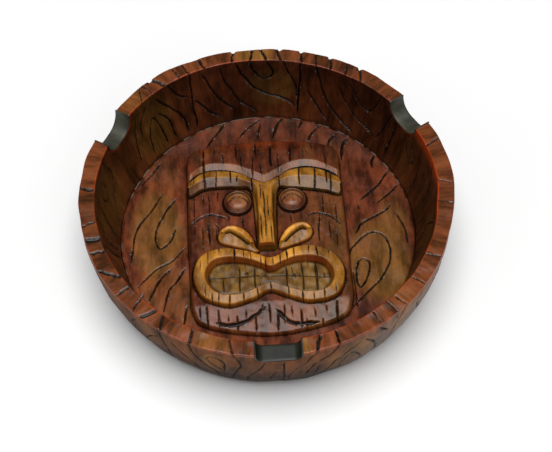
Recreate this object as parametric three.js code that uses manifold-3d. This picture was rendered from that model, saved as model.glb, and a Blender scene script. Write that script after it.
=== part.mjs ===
// A round carved bowl with a mask on its floor and three rests cut into its rim.
// Millimetres, +Z up. The origin is the centre of the underside and the front rest is towards -Y.
import * as THREE from 'three';
import { mergeVertices } from 'three/addons/utils/BufferGeometryUtils.js';
import Module from 'manifold-3d';

const wasm = await Module();
wasm.setup();

// Driving dimensions
const rimRadius = 75.5;
const rimHeight = 40;
const rimInnerRadius = 68.2;
const floorRadius = 61.8;
const floorTop = 10.5;
const insideSteps = 4;
const gap = 0.3;
const roundSteps = 72;
const clearance = 5;

// Outer side and underside
const sideSag = 0.45;
const sideDepth = 33.7;
const sideSteps = 5;
const underside = 0.7;
const undersideRadius = 56;
const cornerReach = 2.8;
const cornerSteps = 4;
const ledgeRadius = 59;
const ledgeTop = 5;
const ledgeFoot = 0.85;

// Pad under the bowl
const padRadius = 50;
const padTop = 1.2;

// Rests in the rim
const restHalfWidth = 8.5;
const frontRestDepth = 3.6;
const backRestDepth = 7.5;
const restFlat = 0.5;
const linerThickness = 0.6;
const restSpread = 120;

// Mask
const panelTop = 13.6;
const panelChamfer = 1.2;
const foreheadTop = 15.8;
const foreheadChamfer = 2;
const foreheadStart = 22;
const pocketDepth = 1.5;
const inlayDepth = 1.2;
const lipTop = 17;
const lipChamfer = 0.9;
const teethTop = 14.6;
const browTop = 16.6;
const noseTipTop = 18.6;
const noseRoot = 20;
const noseTip = -12.6;
const nostrilTop = 16.2;
const nostrilChamfer = 0.5;
const slotDepth = 1.6;
const eyeRadius = 6.1;
const eyeballRadius = 4.4;
const eyeTop = 15.4;
const eyeDip = 1.3;

const colours = {
  red_wood: 0x74301b,
  amber_wood: 0xb07a22,
  eye_wood: 0x8c5a2c,
  teeth_wood: 0x85692a,
  rest_lining: 0x4a4b49,
  base_felt: 0x1f2220,
};

const roughness = {
  red_wood: 0.35,
  amber_wood: 0.35,
  eye_wood: 0.3,
  teeth_wood: 0.45,
  rest_lining: 0.5,
  base_felt: 0.95,
};

const radians = THREE.MathUtils.degToRad;

// Solids and meshes

function solid(geometry) {
  const bare = geometry.clone();
  bare.deleteAttribute('normal');
  bare.deleteAttribute('uv');
  const merged = mergeVertices(bare, 1e-4);
  const vertProperties = new Float32Array(merged.attributes.position.array);
  const triVerts = new Uint32Array(merged.index.array);
  return new wasm.Manifold(new wasm.Mesh({ numProp: 3, vertProperties, triVerts }));
}

function geometryOf(body) {
  const mesh = body.getMesh();
  const geometry = new THREE.BufferGeometry();
  geometry.setAttribute('position', new THREE.BufferAttribute(mesh.vertProperties, 3));
  geometry.setIndex(new THREE.BufferAttribute(mesh.triVerts, 1));
  geometry.computeVertexNormals();
  return geometry;
}

function part(name, finish, geometry) {
  const material = new THREE.MeshStandardMaterial({
    color: colours[finish],
    roughness: roughness[finish],
    metalness: finish === 'rest_lining' ? 0.6 : 0,
  });
  const mesh = new THREE.Mesh(geometry, material);
  mesh.name = name;
  return mesh;
}

// Outlines, as closed lists of points

function smoothOutline(corners, steps) {
  const curve = new THREE.CatmullRomCurve3(corners.map(([x, y]) => new THREE.Vector3(x, y, 0)), true);
  return curve.getPoints(steps).slice(0, -1).map((p) => new THREE.Vector2(p.x, p.y));
}

function grown(outline, amount) {
  const sign = THREE.ShapeUtils.isClockWise(outline) ? -1 : 1;
  return outline.map((point, i) => {
    const before = outline[(i + outline.length - 1) % outline.length];
    const after = outline[(i + 1) % outline.length];
    const along = after.clone().sub(before).normalize();
    return new THREE.Vector2(point.x + sign * amount * along.y, point.y - sign * amount * along.x);
  });
}

function slab(outline, bottom, top, { hole = null, chamfer = 0 } = {}) {
  const shape = new THREE.Shape(outline);
  if (hole) shape.holes.push(new THREE.Path(hole));
  const geometry = new THREE.ExtrudeGeometry(shape, {
    depth: top - bottom - 2 * chamfer,
    bevelEnabled: chamfer > 0,
    bevelThickness: chamfer,
    bevelSize: chamfer,
    bevelOffset: -chamfer,
    bevelSegments: 1,
  });
  return geometry.translate(0, 0, bottom + chamfer);
}

function turned(profile, steps = roundSteps) {
  const points = profile.map(([r, z]) => new THREE.Vector2(r, z));
  return new THREE.LatheGeometry(points, steps).rotateX(Math.PI / 2);
}

// Bowl

function sidePoint(depth) {
  return [rimRadius * (1 - sideSag * (depth / rimRadius) ** 2), rimHeight - depth];
}

function cornerPoint(t) {
  const [r, z] = sidePoint(sideDepth);
  const middle = r - cornerReach;
  const a = (1 - t) ** 2;
  const b = 2 * t * (1 - t);
  return [a * r + b * middle + t * t * undersideRadius, a * z + (1 - a) * underside];
}

// The inside is upright at the rim and leans in more and more towards the floor.
function insidePoint(share) {
  const lean = (rimInnerRadius - floorRadius) * share ** 2;
  return [rimInnerRadius - lean, rimHeight - (rimHeight - floorTop) * share];
}

function wallGeometry() {
  const profile = [insidePoint(0)];
  for (let i = 0; i <= sideSteps; i++) profile.push(sidePoint((sideDepth * i) / sideSteps));
  for (let i = 1; i <= cornerSteps; i++) {
    const point = cornerPoint(i / cornerSteps);
    if (point[0] > ledgeRadius) profile.push(point);
  }
  profile.push([ledgeRadius, ledgeFoot], [ledgeRadius, ledgeTop]);
  profile.push([floorRadius, ledgeTop]);
  for (let i = insideSteps; i >= 0; i--) profile.push(insidePoint(i / insideSteps));
  return turned(profile.reverse());
}

// The disc is turned by half a step, so that none of its edges runs through a corner of the pocket.
function floorGeometry() {
  const rimOfDisc = floorRadius - gap;
  const neck = ledgeRadius - gap;
  const recess = padTop + gap;
  return turned([
    [0, recess],
    [padRadius + gap, recess],
    [padRadius + gap, underside],
    [undersideRadius, underside],
    [neck, ledgeFoot],
    [neck, ledgeTop + gap],
    [rimOfDisc, ledgeTop + gap],
    [rimOfDisc, floorTop],
    [0, floorTop],
  ]).rotateZ(Math.PI / roundSteps);
}

function padGeometry() {
  return turned([[0, 0], [padRadius, 0], [padRadius, padTop], [0, padTop]]);
}

// A rest is a channel across the rim: upright sides and a bottom with round corners.
function restSection(halfWidth, depth, above) {
  const corner = Math.min(halfWidth, depth) - restFlat;
  const section = new THREE.Shape();
  section.moveTo(-halfWidth, above);
  section.lineTo(-halfWidth, corner - depth);
  section.absarc(corner - halfWidth, corner - depth, corner, Math.PI, 1.5 * Math.PI, false);
  section.absarc(halfWidth - corner, corner - depth, corner, 1.5 * Math.PI, 2 * Math.PI, false);
  section.lineTo(halfWidth, above);
  return section;
}

// The channel runs out from the bowl's axis towards the given heading.
function restChannel(heading, halfWidth, depth, above) {
  const geometry = new THREE.ExtrudeGeometry(restSection(halfWidth, depth, above), {
    depth: rimRadius,
    bevelEnabled: false,
    curveSegments: 5,
  });
  geometry.rotateX(Math.PI / 2).rotateZ(Math.PI).translate(0, floorRadius / 2, 0);
  return geometry.rotateZ(radians(heading - 90)).translate(0, 0, rimHeight);
}

const rests = [
  { side: 'front', heading: -90, depth: frontRestDepth },
  { side: 'right', heading: -90 + restSpread, depth: backRestDepth },
  { side: 'left', heading: -90 - restSpread, depth: backRestDepth },
];

function cutWall(uncut) {
  let wall = uncut;
  const around = linerThickness + gap;
  for (const { heading, depth } of rests) {
    const channel = restChannel(heading, restHalfWidth + around, depth + around, clearance);
    wall = wall.subtract(solid(channel));
  }
  return wall;
}

// A liner is the wall's own section inside a thin skin that follows the channel.
function linerGeometry(uncut, heading, depth) {
  const skin = linerThickness;
  const outside = restChannel(heading, restHalfWidth + skin, depth + skin, clearance);
  const inside = restChannel(heading, restHalfWidth, depth, clearance + gap);
  return geometryOf(uncut.intersect(solid(outside).subtract(solid(inside))));
}

// Mask outlines

const panelOutline = smoothOutline([
  [-33.3, 0], [-33, 24], [-32.5, 37], [-25, 42.5], [0, 45.5], [24, 42], [32, 37], [32.5, 24],
  [32.8, 0], [32.5, -24], [32, -37], [26, -45], [0, -50], [-26, -45.5], [-32.5, -38], [-33, -24],
], 64);

const browOutline = smoothOutline([
  [-32, 23.5], [-25, 28.7], [-13, 28], [0, 21.6], [12, 28], [22, 28], [31, 22.5],
  [31.5, 14], [24, 16.2], [10, 18.6], [5, 17], [3.8, 4], [3.2, -10.6],
  [2.2, -11.8], [-3.8, -11.8], [-4.8, -10.6], [-5, 4], [-6, 17], [-11, 19.8], [-25, 20], [-32, 16.5],
], 84);

const lipOutline = smoothOutline([
  [-20, -10.8], [-9, -12.8], [0, -16.6], [8, -12.8], [17, -11.6], [26, -16], [30, -25], [26, -35.5],
  [15, -38], [6, -35], [-1, -32.2], [-8, -35.5], [-18, -37.8], [-28, -33.5], [-31.8, -24], [-29, -14.5],
], 64);

const mouthOutline = smoothOutline([
  [0, -22.6], [-6, -19.6], [-14, -17.3], [-22, -18], [-25.6, -24], [-22, -31], [-14, -32.6],
  [-6, -30.2], [0, -27.6], [6, -30.6], [15, -33.2], [22, -31.5], [24, -26], [20.5, -20],
  [12, -18.5], [5, -20.3],
], 64);

const leftNostrilOutline = smoothOutline([
  [-4.2, -12.3], [-5.7, -10.2], [-6.6, -6.4], [-9.4, -2.1], [-13.5, 0.2], [-17.6, 0],
  [-20.8, -3.3], [-20.2, -7.2], [-16, -9.2], [-10.5, -11], [-6.4, -13],
], 40);

const rightNostrilOutline = smoothOutline([
  [3.9, -11], [4.5, -7.5], [6.6, -3.6], [9.4, -1.1], [13, 0.3], [16.2, -0.4], [18.4, -3.6],
  [17, -7.2], [12.5, -9.6], [8, -11], [5.2, -11.9],
], 40);

const leftSlotOutline = smoothOutline([
  [-17.8, -2.9], [-15.6, -2.4], [-11.6, -5.6], [-8.4, -9], [-9.8, -9.4], [-15, -5.6],
], 24);

const rightSlotOutline = smoothOutline([
  [15.8, -3], [13.4, -2.6], [9.2, -5.4], [6.4, -8.8], [7.8, -9.2], [13, -5.4],
], 24);

const eyeSteps = 24;
const eyeCentres = { left: [-12, 12.4], right: [11, 12.4] };

// Mask pieces, each let into the panel below it

function inlayPocket(outline) {
  return solid(slab(grown(outline, gap), panelTop - inlayDepth, rimHeight));
}

function eyePocket([x, y]) {
  const radius = eyeRadius + gap;
  const pocket = new THREE.CylinderGeometry(radius, radius, clearance, eyeSteps).rotateX(Math.PI / 2);
  return solid(pocket.translate(x, y, panelTop - inlayDepth + clearance / 2));
}

// The panel is flat under the eyes and mouth and stands higher across the forehead.
function panelGeometry() {
  const bottom = floorTop - pocketDepth + gap;
  const face = solid(slab(panelOutline, bottom, panelTop, { chamfer: panelChamfer }));
  const high = solid(slab(panelOutline, bottom, foreheadTop, { chamfer: foreheadChamfer }));
  const block = new THREE.BoxGeometry(rimRadius, rimRadius, rimHeight);
  const behind = solid(block.translate(0, foreheadStart + rimRadius / 2, rimHeight / 2));
  let panel = face.add(high.intersect(behind));
  for (const outline of [browOutline, lipOutline, leftNostrilOutline, rightNostrilOutline]) {
    panel = panel.subtract(inlayPocket(outline));
  }
  for (const centre of Object.values(eyeCentres)) panel = panel.subtract(eyePocket(centre));
  return geometryOf(panel);
}

function pocketedFloor() {
  const pocket = slab(grown(panelOutline, gap), floorTop - pocketDepth, floorTop + 1);
  return geometryOf(solid(floorGeometry()).subtract(solid(pocket)));
}

const inlayBottom = panelTop - inlayDepth + gap;

// The brow is level, and the nose that hangs from it climbs towards its tip.
function browAndNoseGeometry() {
  const geometry = slab(browOutline, inlayBottom, noseTipTop + clearance);
  const above = new THREE.Shape();
  above.moveTo(noseTip - 1, noseTipTop);
  above.lineTo(noseTip, noseTipTop);
  above.lineTo(noseRoot, browTop);
  above.lineTo(rimHeight, browTop);
  above.lineTo(rimHeight, rimHeight);
  above.lineTo(noseTip - 1, rimHeight);
  const trimming = new THREE.ExtrudeGeometry(above, { depth: 2 * rimRadius, bevelEnabled: false });
  trimming.rotateX(Math.PI / 2).rotateZ(Math.PI / 2).translate(-rimRadius, 0, 0);
  return geometryOf(solid(geometry).subtract(solid(trimming)));
}

// An eye is a round plug with a raised ring and a domed ball inside it.
function eyeGeometry([x, y]) {
  const dip = eyeTop - eyeDip;
  const ringTop = eyeTop - 0.3;
  const profile = [[0, inlayBottom], [eyeRadius, inlayBottom], [eyeRadius, dip]];
  profile.push([eyeRadius - 0.5, ringTop], [eyeballRadius + 0.6, ringTop], [eyeballRadius, dip]);
  for (const share of [0.75, 0.4, 0]) {
    profile.push([eyeballRadius * share, dip + eyeDip * Math.sqrt(1 - share * share)]);
  }
  return turned(profile, eyeSteps).translate(x, y, 0);
}

function nostrilGeometry(outline, slot) {
  const body = solid(slab(outline, inlayBottom, nostrilTop, { chamfer: nostrilChamfer }));
  const groove = solid(slab(slot, nostrilTop - slotDepth, nostrilTop + 1));
  return geometryOf(body.subtract(groove));
}

// Putting it together

const uncutWall = solid(wallGeometry());
const bowl = new THREE.Group();

bowl.add(part('bowl_wall', 'red_wood', geometryOf(cutWall(uncutWall))));
bowl.add(part('bowl_floor', 'red_wood', pocketedFloor()));
bowl.add(part('face_panel', 'red_wood', panelGeometry()));
bowl.add(part('brow_and_nose', 'amber_wood', browAndNoseGeometry()));
bowl.add(part('left_eye', 'eye_wood', eyeGeometry(eyeCentres.left)));
bowl.add(part('right_eye', 'eye_wood', eyeGeometry(eyeCentres.right)));
bowl.add(part('left_nostril', 'amber_wood', nostrilGeometry(leftNostrilOutline, leftSlotOutline)));
bowl.add(part('right_nostril', 'amber_wood', nostrilGeometry(rightNostrilOutline, rightSlotOutline)));

const lips = slab(lipOutline, inlayBottom, lipTop, { hole: mouthOutline, chamfer: lipChamfer });
bowl.add(part('lip_ring', 'amber_wood', lips));
bowl.add(part('teeth_plate', 'teeth_wood', slab(grown(mouthOutline, -gap), inlayBottom, teethTop)));

for (const { side, heading, depth } of rests) {
  bowl.add(part(`${side}_rest_liner`, 'rest_lining', linerGeometry(uncutWall, heading, depth)));
}

bowl.add(part('base_pad', 'base_felt', padGeometry()));

export default bowl;
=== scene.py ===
import math

import bpy
import numpy as np
from mathutils import Matrix, Vector
from mathutils.geometry import delaunay_2d_cdt


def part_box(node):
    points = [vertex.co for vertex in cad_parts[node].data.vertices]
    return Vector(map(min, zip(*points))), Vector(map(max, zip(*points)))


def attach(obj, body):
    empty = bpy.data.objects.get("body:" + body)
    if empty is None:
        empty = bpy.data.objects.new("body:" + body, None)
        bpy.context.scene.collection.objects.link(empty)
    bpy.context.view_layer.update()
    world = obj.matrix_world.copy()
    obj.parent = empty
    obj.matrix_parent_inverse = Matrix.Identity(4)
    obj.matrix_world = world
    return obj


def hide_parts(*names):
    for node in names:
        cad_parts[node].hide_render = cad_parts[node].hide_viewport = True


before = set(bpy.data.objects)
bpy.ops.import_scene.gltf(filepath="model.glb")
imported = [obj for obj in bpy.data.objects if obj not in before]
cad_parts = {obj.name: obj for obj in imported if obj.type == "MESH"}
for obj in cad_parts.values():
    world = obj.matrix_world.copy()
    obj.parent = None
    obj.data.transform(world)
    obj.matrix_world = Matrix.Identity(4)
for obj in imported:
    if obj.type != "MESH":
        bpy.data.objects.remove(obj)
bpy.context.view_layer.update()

# A carved bowl with a mask on its floor. Shapes are worked out in millimetres, in the CAD frame,
# and each mesh is written in metres.

MM = 0.001


def corners(node):
    """The lowest and highest corner of a CAD node, in millimetres."""
    low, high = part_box(node)
    return np.array(low) / MM, np.array(high) / MM


WALL_LOW, WALL_HIGH = corners("bowl_wall")
FLOOR_TOP = corners("bowl_floor")[1][2]
PANEL_FOOT = corners("face_panel")[0][2]
PAD_LOW, PAD_HIGH = corners("base_pad")
LIP_LOW, LIP_HIGH = corners("lip_ring")
EYE_LOW, EYE_HIGH = corners("left_eye")
NOSTRIL_TOP = corners("left_nostril")[1][2]
NOSE_TOP = corners("brow_and_nose")[1][2]
TEETH_TOP = corners("teeth_plate")[1][2]

GAP = 0.3
RIM_TOP = WALL_HIGH[2]
RIM_RADIUS = WALL_HIGH[0] - 0.5
RIM_WIDTH = 6.8
RIM_INNER = RIM_RADIUS - RIM_WIDTH
UNDERSIDE = WALL_LOW[2]
FLOOR_EDGE = 61.45
WALL_FOOT = 61.8
LEDGE_RADIUS = 59.0
LEDGE_TOP = 5.0
SIDE_SAG = 0.45
SIDE_DEPTH = 33.7
CORNER_REACH = 2.8
UNDERSIDE_RADIUS = 56.0
OUTER_ROUND = 0.7
INNER_ROUND = 0.5
ROUND_STEPS = 1200
PROFILE_STEP = 0.4

# How far the rim's blocks may settle, and how low the carved floor and its pocket lie.
BLOCK_DROP = 0.26
FLOOR_SINK = 0.35
POCKET_DEPTH = 1.4

FACE_TOP = 13.6
POCKET = FACE_TOP - 1.1
INLAY_FOOT = LIP_LOW[2]
LIP_TOP = LIP_HIGH[2]
BROW_TOP = 16.5
NOSE_TIP = -11.4
EYE_RADIUS = (EYE_HIGH[0] - EYE_LOW[0]) / 2
EYE_TOP = EYE_HIGH[2]

REST_HALF = 8.5
FRONT_DEPTH = 3.6
BACK_DEPTH = 7.5
LINER = 0.4
LINER_GAP = 0.1
# A rest's cutter runs between these radii and ends this high above the rim.
CUT_START, CUT_END = 50, 90
CUT_ABOVE = 6
RESTS = {"front": (-90, FRONT_DEPTH), "right": (30, BACK_DEPTH), "left": (150, BACK_DEPTH)}


# Curves and fields


def smooth(points, step, closed=False):
    """A smooth curve through the points, with a point about every step."""
    p = np.asarray(points, float)
    if closed:
        ring = np.vstack([p[-1:], p, p[:2]])
    else:
        ring = np.vstack([2 * p[0] - p[1], p, 2 * p[-1] - p[-2]])
    parts = []
    for a, b, c, d in zip(ring, ring[1:], ring[2:], ring[3:]):
        count = max(1, round(np.linalg.norm(c - b) / step))
        t = np.arange(count)[:, None] / count
        bend = (c - a) * t + (2 * a - 5 * b + 4 * c - d) * t**2 + (3 * b - a - 3 * c + d) * t**3
        parts.append(b + bend / 2)
    curve = np.vstack(parts)
    return curve if closed else np.vstack([curve, p[-1:]])


def ease(low, high, value):
    """0 below low, 1 above high and a smooth climb between them."""
    t = np.clip((value - low) / (high - low), 0, 1)
    return t * t * (3 - 2 * t)


def rounded(gap, radius):
    """How far a round edge of a radius lies below the top, at a distance from the outline."""
    return radius - np.sqrt(radius**2 - np.clip(radius - gap, 0, radius) ** 2)


def ripple(points, size, seed):
    """A smooth random field of about -1 to 1, with features of about the given size."""
    rng = np.random.default_rng(seed)
    total = np.zeros(len(points))
    for _ in range(10):
        way = rng.normal(size=points.shape[1])
        way *= 2 * math.pi / size * rng.uniform(0.5, 1.3) / np.linalg.norm(way)
        total += np.sin(points @ way + rng.uniform(0, 2 * math.pi))
    return total / 3


def headings(ring):
    """The direction of a ring at each of its points, of length 1."""
    way = np.roll(ring, -1, axis=0) - np.roll(ring, 1, axis=0)
    return way / np.linalg.norm(way, axis=1)[:, None]


def near_line(points, line):
    """How far each point is from a line, how far along it the nearest place is, and its length."""
    best = np.full(len(points), np.inf)
    along = np.zeros(len(points))
    passed = 0.0
    for a, b in zip(line, line[1:]):
        way = b - a
        length = math.hypot(*way)
        t = np.clip((points - a) @ way / length**2, 0, 1)
        gap = np.hypot(*(points - a - t[:, None] * way).T)
        closer = gap < best
        best[closer] = gap[closer]
        along[closer] = passed + t[closer] * length
        passed += length
    return best, along, passed


def edge_gap(points, rings):
    """How far each point is from the nearest outline."""
    return np.min([near_line(points, np.vstack([r, r[:1]]))[0] for r in rings], axis=0)


def inside(points, rings):
    """Whether each point is inside the outline and outside its holes."""
    odd = np.zeros(len(points), bool)
    x, y = points.T
    for ring in rings:
        for a, b in zip(ring, np.roll(ring, -1, axis=0)):
            if a[1] != b[1]:
                crosses = (a[1] > y) != (b[1] > y)
                odd ^= crosses & (x < a[0] + (y - a[1]) * (b[0] - a[0]) / (b[1] - a[1]))
    return odd


def follow(x, line):
    """The height of a line of (x, height) points at each x."""
    return np.interp(x, *np.transpose(line))


def blobs(points, spots):
    """Soft patches: each spot is (x, y, half width, half height, strength)."""
    total = np.zeros(len(points))
    for x, y, rx, ry, strength in spots:
        away = ((points[:, 0] - x) / rx) ** 2 + ((points[:, 1] - y) / ry) ** 2
        total = np.maximum(total, strength * ease(0, 1, 1.6 - away))
    return total


# Carved lines are this much finer than the half widths listed below, and those across the rim
# finer still. A line is this deep for its half width, and tapers over this length at its ends.
FINENESS = 0.8
RIM_FINENESS = 0.62
LINE_DEPTH = 1.5
TAPER_LENGTH = 2.5


def carve(points, lines, wobble=0.12, stretch=None):
    """The depth of the carved lines at each point, their black painted shade and how dusty their edges.

    Each line is (half width, points). A stretch turns the line's points into those of the surface.
    """
    depth, ink, dust = np.zeros((3, len(points)))
    for number, (width, line) in enumerate(lines):
        width *= FINENESS
        curve = smooth(line, 1.5)
        if stretch is not None:
            curve = stretch(curve)
        waver = [ripple(curve, 9, seed) for seed in (2 * number, 2 * number + 1)]
        curve = curve + wobble * np.column_stack(waver)
        reach = 1.8 * width
        low, high = curve.min(0) - reach, curve.max(0) + reach
        near = np.flatnonzero(np.all((points > low) & (points < high), axis=1))
        if not len(near):
            continue
        here = points[near]
        gap, along, length = near_line(here, curve)
        taper = np.clip(np.minimum(along, length - along) / min(TAPER_LENGTH, length / 2), 0, 1)
        half = width * (0.45 + 0.55 * taper) * (1 + 0.18 * ripple(here, 5, number))
        cut = np.clip(1 - (gap / half) ** 2, 0, 1)
        depth[near] = np.maximum(depth[near], LINE_DEPTH * width * (0.3 + 0.7 * taper) * cut)
        # Painted shade: each line is blackened towards its middle, where shade falls in the groove.
        ink[near] = np.maximum(ink[near], np.clip(2.5 * cut, 0, 1))
        lip = np.clip(1 - np.abs(gap / half - 1.25) / 0.35, 0, 1)
        grains = ease(0.7, 1.1, ripple(here, 2.5, 900 + number))
        dust[near] = np.maximum(dust[near], 0.7 * lip * grains)
    return depth, ink, dust


# Meshes

# Edges sharper than this stay crisp. The points of a carved top lie in rows this share of the
# points' spacing apart, every other one shifted by half of it.
SHARP_ANGLE = math.radians(50)
ROW_SHARE = 0.87


def add_object(name, data):
    made = bpy.data.objects.new(name, data)
    bpy.context.scene.collection.objects.link(made)
    return made


def cells(index):
    """The four-sided faces of a grid of vertex numbers."""
    ends = [index[:-1, :-1], index[:-1, 1:], index[1:, 1:], index[1:, :-1]]
    return np.stack(ends, axis=-1).reshape(-1, 4)


def new_piece(name, node, slot, vertices, faces, fields):
    """A mesh that stands for a CAD node. Its material reads the fields, values for each vertex."""
    mesh = bpy.data.meshes.new(name)
    mesh.from_pydata((np.asarray(vertices) * MM).tolist(), [], faces)
    mesh.validate()
    for field, values in fields.items():
        kind, key = ("FLOAT_VECTOR", "vector") if np.ndim(values) == 2 else ("FLOAT", "value")
        layer = mesh.attributes.new(field, kind, "POINT")
        layer.data.foreach_set(key, np.asarray(values, np.float32).ravel())
    mesh.shade_smooth()
    mesh.set_sharp_from_angle(angle=SHARP_ANGLE)
    mesh.materials.append(MATERIALS[slot])
    piece = add_object(name, mesh)
    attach(piece, "root")
    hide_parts(node)
    return piece


def triangles(flat, rings):
    """Triangles, anticlockwise from above, that fill the outline less its holes."""
    edges = []
    start = 0
    for ring in rings:
        count = len(ring)
        edges += [(start + i, start + (i + 1) % count) for i in range(count)]
        start += count
    made = delaunay_2d_cdt([Vector(p) for p in flat], edges, [], 1, 1e-7)
    faces = np.array(made[2])
    a, b, c = (flat[faces[:, i]] for i in range(3))
    if len(rings) > 1:
        keep = inside((a + b + c) / 3, rings)
        faces, a, b, c = faces[keep], a[keep], b[keep], c[keep]
    turn = (b - a)[:, 0] * (c - a)[:, 1] - (b - a)[:, 1] * (c - a)[:, 0]
    faces[turn < 0] = faces[turn < 0][:, ::-1]
    return faces[np.abs(turn) > 1e-9]


def doubled_area(ring):
    """Twice the area inside a ring, above 0 if the ring runs anticlockwise."""
    x, y = ring.T
    return np.sum(x * np.roll(y, -1) - y * np.roll(x, -1))


def anticlockwise(ring):
    return ring if doubled_area(ring) > 0 else ring[::-1]


def relief(name, node, slot, rings, surface, spacing, skirt=((1, INLAY_FOOT),), sparse=None):
    """A solid with a carved top.

    rings: the outline and then any hole. surface: gives the top's height and the fields for an
    array of points and their distance from the outline. spacing: how far the top's points are
    apart. skirt: the (scale, height) of each ring of the side below the top, whose last one is
    closed flat. sparse: picks points that can be left out.
    """
    rings = [anticlockwise(rings[0])] + [anticlockwise(r)[::-1] for r in rings[1:]]
    edge = np.vstack(rings)
    low, high = edge.min(0), edge.max(0)
    rows = np.arange(low[1], high[1], spacing * ROW_SHARE)
    x, y = np.meshgrid(np.arange(low[0], high[0], spacing), rows)
    x[1::2] += spacing / 2
    grid = np.column_stack([x.ravel(), y.ravel()])
    grid = grid[inside(grid, rings)]
    if sparse is not None:
        grid = grid[~sparse(grid)]
    coarse = [smooth(r[:: max(1, round(1.2 / spacing))], 9, closed=True) for r in rings]
    gap = edge_gap(grid, coarse)
    grid, gap = grid[gap > 0.6 * spacing], gap[gap > 0.6 * spacing]
    flat = np.vstack([edge, grid])
    height, fields = surface(flat, np.concatenate([np.zeros(len(edge)), gap]))
    top = triangles(flat, rings)
    vertices = [np.column_stack([flat, height])]
    faces = top.tolist()
    above = np.arange(len(edge))
    total = len(flat)
    for scale, level in skirt:
        vertices.append(np.column_stack([edge * scale, np.full(len(edge), level)]))
        below = total + np.arange(len(edge))
        total += len(edge)
        start = 0
        for ring in rings:
            here = start + np.arange(len(ring))
            then = np.roll(here, -1)
            faces += np.column_stack([below[here], below[then], above[then], above[here]]).tolist()
            start += len(ring)
        above = below
    faces += above[triangles(edge, rings)][:, ::-1].tolist()
    for field, values in fields.items():
        fields[field] = np.concatenate([values] + [values[: len(edge)]] * len(skirt))
    return new_piece(name, node, slot, np.vstack(vertices), faces, fields)


def inlay(name, node, slot, outlines, surface, step, foot=INLAY_FOOT):
    """A relief whose outlines are smooth curves and whose sides go straight down to its foot."""
    rings = [smooth(outline, step, closed=True) for outline in outlines]
    return relief(name, node, slot, rings, surface, step, [(1, foot)])


def plank_grain(points, stretch=2.8):
    """Where a point lies in wood whose grain runs along Y."""
    return np.column_stack([points[:, 0], points[:, 1] / stretch, np.zeros(len(points))])


def paint(points, **fields):
    """The fields that all wood reads, with 0 for those that aren't given."""
    made = {"grain": plank_grain(points)}
    for field in ("ink", "dust", "amber", "glow", "shade"):
        lowest = -1 if field == "shade" else 0
        made[field] = np.clip(fields.get(field, np.zeros(len(points))), lowest, 1)
    return made


# Materials


class Graph:
    """A material's node tree, with short calls for the nodes that it uses."""

    def __init__(self, name):
        self.material = bpy.data.materials.new(name)
        self.material.use_nodes = True
        self.tree = self.material.node_tree
        self.shader = self.tree.nodes["Principled BSDF"]

    def node(self, kind, inputs=(), **settings):
        made = self.tree.nodes.new("ShaderNode" + kind)
        for key, value in settings.items():
            setattr(made, key, value)
        for key, value in dict(inputs).items():
            self.set(made.inputs[key], value)
        return made

    def set(self, socket, value):
        if isinstance(value, bpy.types.NodeSocket):
            self.tree.links.new(value, socket)
        else:
            socket.default_value = value

    def field(self, name, vector=False):
        made = self.node("Attribute", attribute_name=name)
        return made.outputs["Vector" if vector else "Fac"]

    def noise(self, vector, scale, detail=4.0, roughness=0.55):
        inputs = {"Vector": vector, "Scale": scale, "Detail": detail, "Roughness": roughness}
        return self.node("TexNoise", inputs).outputs["Fac"]

    def spread(self, value, low, high, to_low=0.0, to_high=1.0):
        inputs = {"Value": value, "From Min": low, "From Max": high, "To Min": to_low, "To Max": to_high}
        return self.node("MapRange", inputs).outputs["Result"]

    def maths(self, kind, a, b):
        return self.node("Math", {0: a, 1: b}, operation=kind).outputs[0]

    def mix(self, share, a, b, kind="MIX"):
        made = self.node("Mix", data_type="RGBA", blend_type=kind)
        self.set(made.inputs[0], share)
        self.set(made.inputs[6], a)
        self.set(made.inputs[7], b)
        return made.outputs[2]

    def times(self, colour, value):
        grey = self.node("CombineColor", {0: value, 1: value, 2: value}).outputs[0]
        return self.mix(1.0, colour, grey, "MULTIPLY")

    def bump(self, height, strength, distance):
        inputs = {"Strength": strength, "Distance": distance, "Height": height}
        return self.node("Bump", inputs).outputs[0]

    def shade(self, **inputs):
        for key, value in inputs.items():
            self.set(self.shader.inputs[key.replace("_", " ")], value)
        return self.material


def rgb(*levels):
    """A colour as seen on a screen, from 0 to 255, as the linear colour that the shader takes."""
    linear = [((v / 255 + 0.055) / 1.055) ** 2.4 if v > 10 else v / 255 / 12.92 for v in levels]
    return (*linear, 1.0)


# Black for painted shade in carved lines, pale dust, and orange for painted light on edges, also used as a
# tint.
GROOVE_SHADE_BLACK = rgb(9, 6, 4)
DUST = rgb(178, 168, 150)
LIGHT_AND_TINT_ORANGE = rgb(176, 62, 14)


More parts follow.
